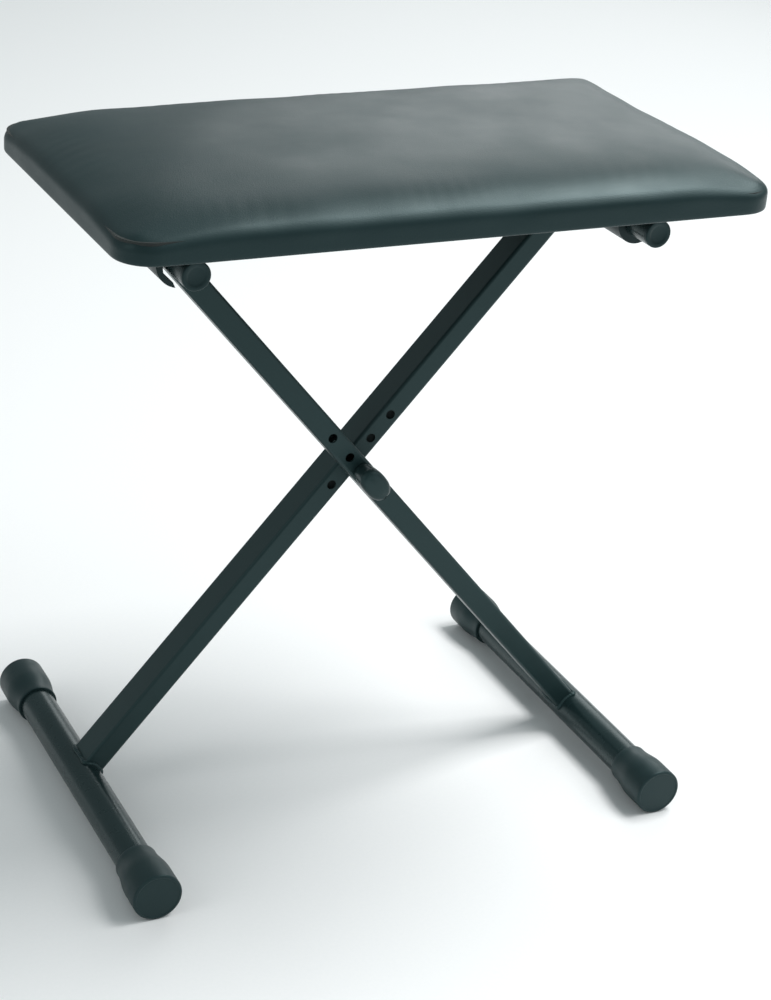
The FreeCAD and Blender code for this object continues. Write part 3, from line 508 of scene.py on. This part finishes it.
SCREW_REACH, SCREW_HEAD, SCREW_HEAD_HEIGHT, SCREW_SHANK, SCREW_LENGTH = 0.0215, 0.004, 0.0024, 0.002, 0.014
RECESS_LENGTH, RECESS_WIDTH, RECESS_DEPTH = 0.0024, 0.0005, 0.0014
SCREW_STEPS = 48
low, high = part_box("saddle_screws")
head_low = low[2]
DOME_HEIGHT, POINT_LENGTH, TWIST_STEP = 0.0009, 0.003, 0.7
screw_end = SCREW_HEAD_HEIGHT + SCREW_LENGTH
screw_places = [(seat_axis[leg][0] + hand * SCREW_REACH, middle_of(f"{kind}_saddle_{end}")[1])
                for kind, leg in (("bearing", "back_leg"), ("hook", "front_leg"))
                for end in ("front", "rear") for hand in (-1, 1)]
turn = np.linspace(0, 2 * math.pi, SCREW_STEPS, endpoint=False)
HEAD_RINGS = 9
head_radius = np.concatenate([np.linspace(0.0004, 0.0034, HEAD_RINGS - 2),
                              [0.0038, SCREW_HEAD, SCREW_HEAD, SCREW_SHANK, SCREW_SHANK, 0.0003]])
# A pan head is a low dome, depth = 0.9 mm * (r / R)^3. The recess is a cross sunk into it, deepest in the
# middle.
head_depth = np.concatenate([DOME_HEIGHT * (head_radius[:HEAD_RINGS] / SCREW_HEAD) ** 3,
                             [SCREW_HEAD_HEIGHT, SCREW_HEAD_HEIGHT, screw_end - POINT_LENGTH, screw_end]])
plan = head_radius[:, None, None] * np.stack([np.cos(turn), np.sin(turn)], -1)[None]
narrow, wide = np.sort(np.abs(plan), axis=-1)[..., 0], np.sort(np.abs(plan), axis=-1)[..., 1]
in_cross = (narrow < RECESS_WIDTH) & (wide < RECESS_LENGTH)
in_cross[HEAD_RINGS:] = False
sink = np.where(in_cross, RECESS_DEPTH * (1 - 0.5 * wide / RECESS_LENGTH), 0)
depth = head_depth[:, None] + sink
screw = np.concatenate([plan, depth[..., None]], -1).reshape(-1, 3)
screw = np.concatenate([screw, [[0, 0, RECESS_DEPTH], [0, 0, screw_end]]])
step = np.arange(SCREW_STEPS)
after, last = (step + 1) % SCREW_STEPS, (len(head_radius) - 1) * SCREW_STEPS
screw_faces = grid_faces(len(head_radius), SCREW_STEPS, wrap_columns=True).tolist()
screw_faces += np.stack([np.full(SCREW_STEPS, len(screw) - 2), after, step], 1).tolist()
screw_faces += np.stack([np.full(SCREW_STEPS, len(screw) - 1), last + step, last + after], 1).tolist()
all_points, all_faces = [], []
for number, (x, y) in enumerate(screw_places):
    twist = TWIST_STEP * number
    c, s = math.cos(twist), math.sin(twist)
    spin = np.array([[c, s, 0], [-s, c, 0], [0, 0, 1]])
    all_points.append(screw @ spin + np.array([x, y, head_low]))
    all_faces += [[corner + number * len(screw) for corner in face] for face in screw_faces]
screws = mesh_object("wood_screws", np.concatenate(all_points), all_faces,
                     zinc_plate("bright_screw_steel", "#858b8c", "#aab0b1", 0.3), 35)
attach(screws, "seat")
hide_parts("saddle_screws")


# Seat board -------------------------------------------------------------------------------------------------
# A plywood board, near black underneath where it shows inside the turned-in cover. The near black is painted
# shade under the seat. The grain runs along the seat, and the colour is a little lighter on its hard lines.
board_wood, tree, shader, place = new_material("shade_darkened_plywood", 0.62, IOR=1.45)
stretch = add(tree, "ShaderNodeMapping", {"Vector": place, "Scale": (7.0, 120.0, 120.0)})
grain = add(tree, "ShaderNodeTexNoise", {"Vector": stretch.outputs["Vector"], "Scale": 1.0, "Detail": 6.0,
                                         "Roughness": 0.62, "Distortion": 0.35})
pores = add(tree, "ShaderNodeMapping", {"Vector": place, "Scale": (120.0, 1900.0, 1900.0)})
pore = add(tree, "ShaderNodeTexNoise", {"Vector": pores.outputs["Vector"], "Scale": 1.0, "Detail": 2.0})
# The ramp's near black and dark grey are painted shade under the seat, lightened along the grain.
tone = add(tree, "ShaderNodeValToRGB", {"Fac": grain.outputs["Fac"]})
tone.color_ramp.elements[0].position, tone.color_ramp.elements[0].color = 0.35, srgb("#12191a")
tone.color_ramp.elements[1].position, tone.color_ramp.elements[1].color = 0.7, srgb("#2c3432")
bump = add(tree, "ShaderNodeBump", {"Strength": 0.5, "Distance": 0.0001, "Height": pore.outputs["Fac"]})
tree.links.new(tone.outputs["Color"], shader.inputs["Base Color"])
tree.links.new(bump.outputs["Normal"], shader.inputs["Normal"])
paint(board_wood, "seat_board")


# Cushion ----------------------------------------------------------------------------------------------------
# A foam pad under one sheet of black leatherette. The sheet is pulled down over the board's edge, turned in
# underneath and stapled, so the pad is crowned in the middle and pulled low at its corners. One closed shape
# holds the cover and the foam, with the board in the hollow on its underside. There are no seams.
SEAT_HALF_X, SEAT_HALF_Y, SEAT_CORNER = 0.2277, 0.1277, 0.023
BOARD_HALF_X, BOARD_HALF_Y, BOARD_CORNER = 0.226, 0.126, 0.022
COVER_THICKNESS, BOARD_THICKNESS, TURN_IN = 0.002, 0.012, 0.022
CELLS_X, CELLS_Y = 84, 48
EDGE_INSET, EDGE_HEIGHT, CORNER_DROP, CORNER_SPREAD = 0.006, 0.0172, 0.0045, 0.038
CROWN_HEIGHT, CROWN_SPREAD, CROWN_LEAN = 0.0150, 0.024, 0.20
FOLD_RADIUS, FOLD_LOW = 0.0016, -0.0006
low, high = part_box("seat_cover")
seat_low = low[2]

index_x, index_y = np.meshgrid(np.arange(CELLS_X + 1), np.arange(CELLS_Y + 1), indexing="ij")
ring_of = np.minimum(np.minimum(index_x, CELLS_X - index_x), np.minimum(index_y, CELLS_Y - index_y))
LAST_RING = CELLS_Y // 2


def on_outline(inset, half_x, half_y, radius):
    """Where each point of the grid lies on its own ring.

    A ring is a rectangle with round corners, inset from the outline. A point's share s of its side, from -1
    to 1, is an arc length: straight up to half - radius, then round the corner's arc by
    (|s| length - straight) / radius, so that a side's end is the middle of its corner.
    """
    on_x_side = (ring_of == index_y) | (ring_of == CELLS_Y - index_y)
    across = np.where(on_x_side, index_x - CELLS_X / 2, index_y - CELLS_Y / 2)
    span = np.where(on_x_side, CELLS_X / 2 - ring_of, CELLS_Y / 2 - ring_of)
    share = across / np.maximum(span, 1)
    side_half = np.where(on_x_side, half_x, half_y) - inset
    other_half = np.where(on_x_side, half_y, half_x) - inset
    straight = side_half - radius
    length = np.abs(share) * (straight + radius * math.pi / 4)
    turn = np.maximum(length - straight, 0) / np.maximum(radius, 1e-9)
    along = np.sign(share) * (np.minimum(length, straight) + radius * np.sin(turn))
    outward = other_half - radius + radius * np.cos(turn)
    sign = np.where(on_x_side, np.where(index_y < CELLS_Y / 2, -1, 1), np.where(index_x < CELLS_X / 2, -1, 1))
    x = np.where(on_x_side, along, sign * outward)
    y = np.where(on_x_side, sign * outward, along)
    return x, y


def top_height(x, y, corner):
    """The pad's top over the cover's underside.

    It is edge + crown * (1 + lean * x / half) * (1 - exp(-u / spread)). u is how far in the point is: a
    smooth minimum of a, its distance to the side, and b, to the front or back, (a^-3 + b^-3)^(-1/3). The
    foam is a little fuller to the right. The edge drops by CORNER_DROP * corner, but rises a little at the
    back right.
    """
    to_side = np.maximum(SEAT_HALF_X - np.abs(x), 1e-5)
    to_front = np.maximum(SEAT_HALF_Y - np.abs(y), 1e-5)
    inward = (to_side ** -3 + to_front ** -3) ** (-1 / 3)
    crown = CROWN_HEIGHT * (1 + CROWN_LEAN * x / SEAT_HALF_X)
    back_right = (1 + x / SEAT_HALF_X) * (1 + y / SEAT_HALF_Y) / 4
    drop = CORNER_DROP * corner * (1 - 1.5 * back_right)
    return EDGE_HEIGHT + crown * (1 - np.exp(-inward / CROWN_SPREAD)) - drop


def near_corner(x, y):
    """1 at the seat's corners, falling to 0 away from them as a bell with CORNER_SPREAD."""
    gap = np.hypot(SEAT_HALF_X - np.abs(x), SEAT_HALF_Y - np.abs(y))
    return np.exp(-(np.maximum(gap - 0.01, 0) / CORNER_SPREAD) ** 2)


top_inset = EDGE_INSET + (SEAT_HALF_Y - EDGE_INSET) * ring_of / LAST_RING
top_radius = SEAT_CORNER * (1 - top_inset / SEAT_HALF_Y)
top_x, top_y = on_outline(top_inset, SEAT_HALF_X, SEAT_HALF_Y, top_radius)
top_z = top_height(top_x, top_y, near_corner(top_x, top_y))

# The rim of the grid, in order round the seat, and the rings that run from it down the side, under the board,
# out along the board's underside, up its edge and on to its top.
rim_x = np.concatenate([np.arange(CELLS_X), np.full(CELLS_Y, CELLS_X),
                        np.arange(CELLS_X, 0, -1), np.zeros(CELLS_Y, int)])
rim_y = np.concatenate([np.zeros(CELLS_X, int), np.arange(CELLS_Y),
                        np.full(CELLS_X, CELLS_Y), np.arange(CELLS_Y, 0, -1)])
RIM = len(rim_x)


def rim_ring(inset, half_x, half_y, radius):
    """The rim's points on the outline inset by that much."""
    x, y = on_outline(np.full(ring_of.shape, inset), half_x, half_y, np.full(ring_of.shape, radius))
    return x[rim_x, rim_y], y[rim_x, rim_y]


ROLL_SLOPE_DROP, ROLL_DROP, FOLD_TOP = 0.0035, 0.0085, 0.0035
SKIN_GAP, BOARD_GAP, BOARD_FIRST_INSET = 0.00005, 0.0001, 0.004
rings = []
rim_top = top_z[rim_x, rim_y]
rim_x_place, rim_y_place = rim_ring(0.0, SEAT_HALF_X, SEAT_HALF_Y, SEAT_CORNER)
rim_corner = near_corner(rim_x_place, rim_y_place)
# A quadratic curve rolls the top over into the side: it leaves the top at its own slope and ends upright.
for t in (0.2, 0.4, 0.6, 0.8, 1.0):
    inset = EDGE_INSET * (1 - t) ** 2
    drop = ROLL_SLOPE_DROP * 2 * t * (1 - t) + ROLL_DROP * t ** 2
    x, y = rim_ring(inset, SEAT_HALF_X, SEAT_HALF_Y, SEAT_CORNER)
    rings.append((x, y, rim_top - drop))
side_top = rings[-1][2]
for share in (0.3, 0.6):
    rings.append((rim_x_place, rim_y_place, side_top + (FOLD_TOP - side_top) * share))
for angle in np.radians([0, 30, 60, 90]):
    x, y = rim_ring(FOLD_RADIUS * (1 - math.cos(angle)), SEAT_HALF_X, SEAT_HALF_Y, SEAT_CORNER)
    rings.append((x, y, np.full(RIM, FOLD_LOW + FOLD_RADIUS * (1 - math.sin(angle)))))
# Under the board the sheet lies flat, and is gathered into small pleats round each corner.
corner_turn = np.arctan2(np.abs(rim_y_place) - SEAT_HALF_Y + SEAT_CORNER,
                         np.abs(rim_x_place) - SEAT_HALF_X + SEAT_CORNER)
PLEAT_COUNT, PLEAT_DEPTH = 14, 0.0011
pleat = rim_corner * (0.5 - 0.5 * np.cos(corner_turn * PLEAT_COUNT)) * PLEAT_DEPTH
for inset, fold in ((0.007, 0.5), (0.012, 1.0), (0.017, 1.0), (0.0215, 0.7), (TURN_IN, 0.6)):
    x, y = rim_ring(inset, SEAT_HALF_X, SEAT_HALF_Y, max(SEAT_CORNER - inset, 0.004))
    rings.append((x, y, FOLD_LOW - pleat * fold))
x, y = rim_ring(TURN_IN + 0.0002, SEAT_HALF_X, SEAT_HALF_Y, 0.004)
under_board = COVER_THICKNESS - SKIN_GAP
over_board = COVER_THICKNESS + BOARD_THICKNESS + SKIN_GAP
rings.append((x, y, np.full(RIM, under_board)))
x, y = rim_ring(-BOARD_GAP, BOARD_HALF_X, BOARD_HALF_Y, BOARD_CORNER)
rings += [(x, y, np.full(RIM, height)) for height in (under_board, over_board)]

board_inset = np.maximum(BOARD_HALF_Y * ring_of / LAST_RING - BOARD_GAP, BOARD_FIRST_INSET)
board_radius = BOARD_CORNER * (1 - board_inset / (BOARD_HALF_Y + BOARD_GAP))
board_x, board_y = on_outline(board_inset, BOARD_HALF_X, BOARD_HALF_Y, np.maximum(board_radius, 0))
board_z = np.full(board_x.shape, over_board)

TOP_COUNT = top_x.size
grid_index = np.arange(TOP_COUNT).reshape(top_x.shape)
top_points = np.stack([top_x, top_y, top_z], -1).reshape(-1, 3)
ring_points = np.concatenate([np.stack(ring, -1) for ring in rings])
board_points = np.stack([board_x, board_y, board_z], -1).reshape(-1, 3)
points = np.concatenate([top_points, ring_points, board_points]) + np.array([0, 0, seat_low])
rim_index = grid_index[rim_x, rim_y]
board_start = TOP_COUNT + len(ring_points)
bands = np.concatenate([rim_index[None], TOP_COUNT + np.arange(len(ring_points)).reshape(-1, RIM),
                        (board_start + rim_index)[None]])
band_faces = bands.reshape(-1)[grid_faces(len(bands), RIM, wrap_columns=True)]
sheet_faces = grid_faces(CELLS_X + 1, CELLS_Y + 1)
faces = np.concatenate([sheet_faces, band_faces, sheet_faces[:, ::-1] + board_start])

# Leatherette: black PVC on a knit back, with a pebble grain of about 1 mm and finer creases in it. The colour
# and the gloss drift a little over the sheet, as the skin is stretched more in some places.
leatherette, tree, shader, place = new_material("black_leatherette", 0.40, IOR=1.5, Specular_Tint=COOL_SHEEN)
drift = add(tree, "ShaderNodeTexNoise", {"Vector": place, "Scale": 16.0, "Detail": 5.0, "Roughness": 0.55})
tone = add(tree, "ShaderNodeMix", {"Factor": drift.outputs["Fac"], 6: srgb("#142425"), 7: srgb("#1e2f31")},
           data_type="RGBA")
gloss = add(tree, "ShaderNodeMapRange", {"Value": drift.outputs["Fac"], "From Min": 0.3, "From Max": 0.7,
                                         "To Min": 0.37, "To Max": 0.47})
pebble = add(tree, "ShaderNodeTexVoronoi", {"Vector": place, "Scale": 950.0, "Randomness": 0.9})
crease = add(tree, "ShaderNodeTexNoise", {"Vector": place, "Scale": 2600.0, "Detail": 3.0})
grain = add(tree, "ShaderNodeMath", {0: pebble.outputs["Distance"], 1: crease.outputs["Fac"]},
            operation="ADD")
bump = add(tree, "ShaderNodeBump", {"Strength": 0.55, "Distance": 0.00009, "Height": grain.outputs["Value"]})
tree.links.new(tone.outputs[2], shader.inputs["Base Color"])
tree.links.new(gloss.outputs["Result"], shader.inputs["Roughness"])
tree.links.new(bump.outputs["Normal"], shader.inputs["Normal"])
cushion = mesh_object("seat_cushion", points, faces, leatherette, 180)


def inflate(obj, held, pressure, limit, frames):
    """Swells a closed mesh as cloth under pressure, with the held points fixed, and applies the result.

    A point moves by limit * tanh(distance / limit), so that none goes further than limit.
    """
    start = np.empty(len(obj.data.vertices) * 3)
    obj.data.vertices.foreach_get("co", start)
    start = start.reshape(-1, 3)
    group = obj.vertex_groups.new(name="held")
    group.add([int(i) for i in held], 1.0, "REPLACE")
    cloth = obj.modifiers.new("cloth", "CLOTH")
    settings = cloth.settings
    settings.vertex_group_mass = "held"
    settings.quality = 8
    settings.mass = 0.35
    settings.tension_stiffness = settings.compression_stiffness = 40
    settings.shear_stiffness = 20
    settings.bending_stiffness = 6
    settings.use_pressure = True
    settings.uniform_pressure_force = pressure
    settings.effector_weights.gravity = 0
    cloth.point_cache.frame_start, cloth.point_cache.frame_end = 1, frames
    for number in range(1, frames + 1):
        scene.frame_set(number)
    swollen = np.empty(len(start) * 3)
    evaluated = obj.evaluated_get(bpy.context.evaluated_depsgraph_get())
    evaluated.data.vertices.foreach_get("co", swollen)
    move = swollen.reshape(-1, 3) - start
    distance = np.linalg.norm(move, axis=1, keepdims=True)
    move *= limit * np.tanh(distance / limit) / np.maximum(distance, 1e-9)
    obj.modifiers.remove(cloth)
    obj.vertex_groups.remove(group)
    obj.data.vertices.foreach_set("co", (start + move).ravel())
    obj.data.update()
    scene.frame_set(1)
    print("cushion swelled by up to", round(float(np.linalg.norm(move, axis=1).max()) * 1000, 2), "mm")


PRESSURE, SWELL_LIMIT, SWELL_FRAMES = 1.6, 0.003, 6
FREE_RINGS = 5
held_points = np.arange(TOP_COUNT + FREE_RINGS * RIM, len(points))
inflate(cushion, held_points, PRESSURE, SWELL_LIMIT, SWELL_FRAMES)
cushion.modifiers.new("subdivide", "SUBSURF")
smooth_mesh = bpy.data.meshes.new_from_object(cushion.evaluated_get(bpy.context.evaluated_depsgraph_get()))
cushion.modifiers.clear()
cushion.data = smooth_mesh

# The stretched sheet isn't even. Its edge dips and swells between the staples, small stretch marks run in
# from the edge over the roll, and the corners draw soft folds. Each is a wave along the normal:
#   swell = 0.22 mm * bell * (sin + 0.7 sin), over 91 and 53 mm along the edge. The bell is 16 mm wide.
#   marks = 0.06 mm * bell * sin, over about 11 mm along the edge. The bell is 13 mm wide, 20 mm in.
#   folds = 0.10 mm * corner * cos(9 * angle round the corner)
#   sag = 0.25 mm of long waves over the whole top
count = len(smooth_mesh.vertices)
place, normal = np.empty(count * 3), np.empty(count * 3)
smooth_mesh.vertices.foreach_get("co", place)
smooth_mesh.vertex_normals.foreach_get("vector", normal)
place, normal = place.reshape(-1, 3), normal.reshape(-1, 3)
x, y, z = place.T
to_side, to_front = SEAT_HALF_X - np.abs(x), SEAT_HALF_Y - np.abs(y)
near_front = to_front < to_side
inset = np.clip(np.minimum(to_side, to_front), 0, None)
along = np.where(near_front, x * np.sign(y + 1e-9), y * np.sign(x + 1e-9) + 0.3)
corner = near_corner(x, y)
upper = np.clip((z - seat_low - 0.006) / 0.008, 0, 1)
SWELL, SWELL_PLACE, SWELL_BELL = 0.00022, 0.008, 0.016
MARK, MARK_PLACE, MARK_BELL, MARK_PITCH = 0.00006, 0.020, 0.013, 0.0113
FOLD, SAG = 0.00010, 0.00025
swell = SWELL * np.exp(-((inset - SWELL_PLACE) / SWELL_BELL) ** 2) * (1 - corner) * (
    np.sin(2 * math.pi * along / 0.091 + 0.8) + 0.7 * np.sin(2 * math.pi * along / 0.053 + 2.1))
mark_phase = 2 * math.pi * (along + 0.25 * inset) / MARK_PITCH + 3 * np.sin(along * 31)
marks = MARK * np.exp(-((inset - MARK_PLACE) / MARK_BELL) ** 2) * (1 - corner) * (
    np.sin(mark_phase) * (0.55 + 0.45 * np.sin(along * 47 + 1)))
angle = np.arctan2(to_front + 0.002, to_side + 0.002)
folds = FOLD * corner * np.cos(9 * angle) * np.clip(inset / 0.006, 0, 1)
sag = SAG * np.clip(inset / 0.05, 0, 1) * (
    np.sin(x * 41 + 1.3) * np.cos(y * 33 - 0.4) + 0.5 * np.sin(x * 77 - y * 53))
place = place + normal * (upper * (swell + marks + folds + sag))[:, None]
smooth_mesh.vertices.foreach_set("co", place.ravel())
smooth_mesh.update()

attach(cushion, "seat")
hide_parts("seat_cover", "seat_foam")


# Staples ----------------------------------------------------------------------------------------------------
# Upholstery staples of flat zinc-plated wire, shot through the turned-in cover into the board. They stand
# about every 28 mm along each side, a little askew, and the corners are left to the pleats.
STAPLE_WIDTH, WIRE_WIDTH, WIRE_THICKNESS, STAPLE_LEG = 0.0100, 0.0013, 0.0006, 0.0030
STAPLE_STEP, STAPLE_INSET, STAPLE_CLEAR, STAPLE_SKEW = 0.028, 0.0125, 0.034, 0.10
STAPLE_DRIFT, STAPLE_STAND = 0.0015, 0.0002
BEND_RADIUS = 0.0006
bend = np.radians(np.linspace(0, 90, 5))
# The wire's middle line goes up one leg, round a small bend, along the crown and down the other side.
right_half = np.stack([STAPLE_WIDTH / 2 - BEND_RADIUS + BEND_RADIUS * np.sin(bend),
                       BEND_RADIUS * (1 - np.cos(bend))], 1)
right_half = np.concatenate([right_half, [[STAPLE_WIDTH / 2, STAPLE_LEG]]])
wire_line = np.concatenate([right_half[::-1] * [-1, 1], right_half])
wire_normal = np.concatenate([[[1, 0]], np.stack([np.sin(bend[::-1]), np.cos(bend[::-1])], 1),
                              np.stack([-np.sin(bend), np.cos(bend)], 1), [[-1, 0]]])
WIRE_CORNERS = np.array([(-0.5, -0.5), (0.5, -0.5), (0.5, 0.5), (-0.5, 0.5)])
section = WIRE_CORNERS * [WIRE_WIDTH, WIRE_THICKNESS]
wire = np.stack([wire_line[:, None, 0] + section[None, :, 1] * wire_normal[:, None, 0],
                 np.broadcast_to(section[None, :, 0], (len(wire_line), 4)),
                 wire_line[:, None, 1] + section[None, :, 1] * wire_normal[:, None, 1]], -1).reshape(-1, 3)
wire_faces = np.concatenate([grid_faces(len(wire_line), 4, wrap_columns=True),
                             [[3, 2, 1, 0]], [np.arange(4) + len(wire) - 4]])


def side_places(half_along, half_across):
    """Evenly spaced staples on two facing sides: the place along the side, and out from the middle."""
    reach = half_along - STAPLE_CLEAR
    along = np.linspace(-reach, reach, round(2 * reach / STAPLE_STEP) + 1)
    out = half_across - STAPLE_INSET
    return np.concatenate([np.stack([along, np.full(len(along), side * out)], 1) for side in (-1, 1)])


long_sides, short_sides = side_places(SEAT_HALF_X, SEAT_HALF_Y), side_places(SEAT_HALF_Y, SEAT_HALF_X)
staple_place = np.concatenate([long_sides, short_sides[:, ::-1]])
chance = np.random.default_rng(7)
heading = np.repeat([0, math.pi / 2], [len(long_sides), len(short_sides)])
heading = heading + chance.uniform(-STAPLE_SKEW, STAPLE_SKEW, len(heading))
staple_place = staple_place + chance.uniform(-STAPLE_DRIFT, STAPLE_DRIFT, staple_place.shape)
ahead_x, ahead_y = np.cos(heading)[:, None], np.sin(heading)[:, None]
wire_height = wire[:, 2] + seat_low + FOLD_LOW - STAPLE_STAND
points = np.stack([staple_place[:, :1] + wire[:, 0] * ahead_x - wire[:, 1] * ahead_y,
                   staple_place[:, 1:] + wire[:, 0] * ahead_y + wire[:, 1] * ahead_x,
                   np.broadcast_to(wire_height, (len(heading), len(wire)))], -1)
faces = wire_faces[None] + len(wire) * np.arange(len(heading))[:, None, None]
staples = mesh_object("cover_staples", points.reshape(-1, 3), faces.reshape(-1, 4),
                      zinc_plate("galvanised_staple_wire", "#82888a", "#a9afb0", 0.36), 35)
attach(staples, "seat")

low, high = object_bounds()
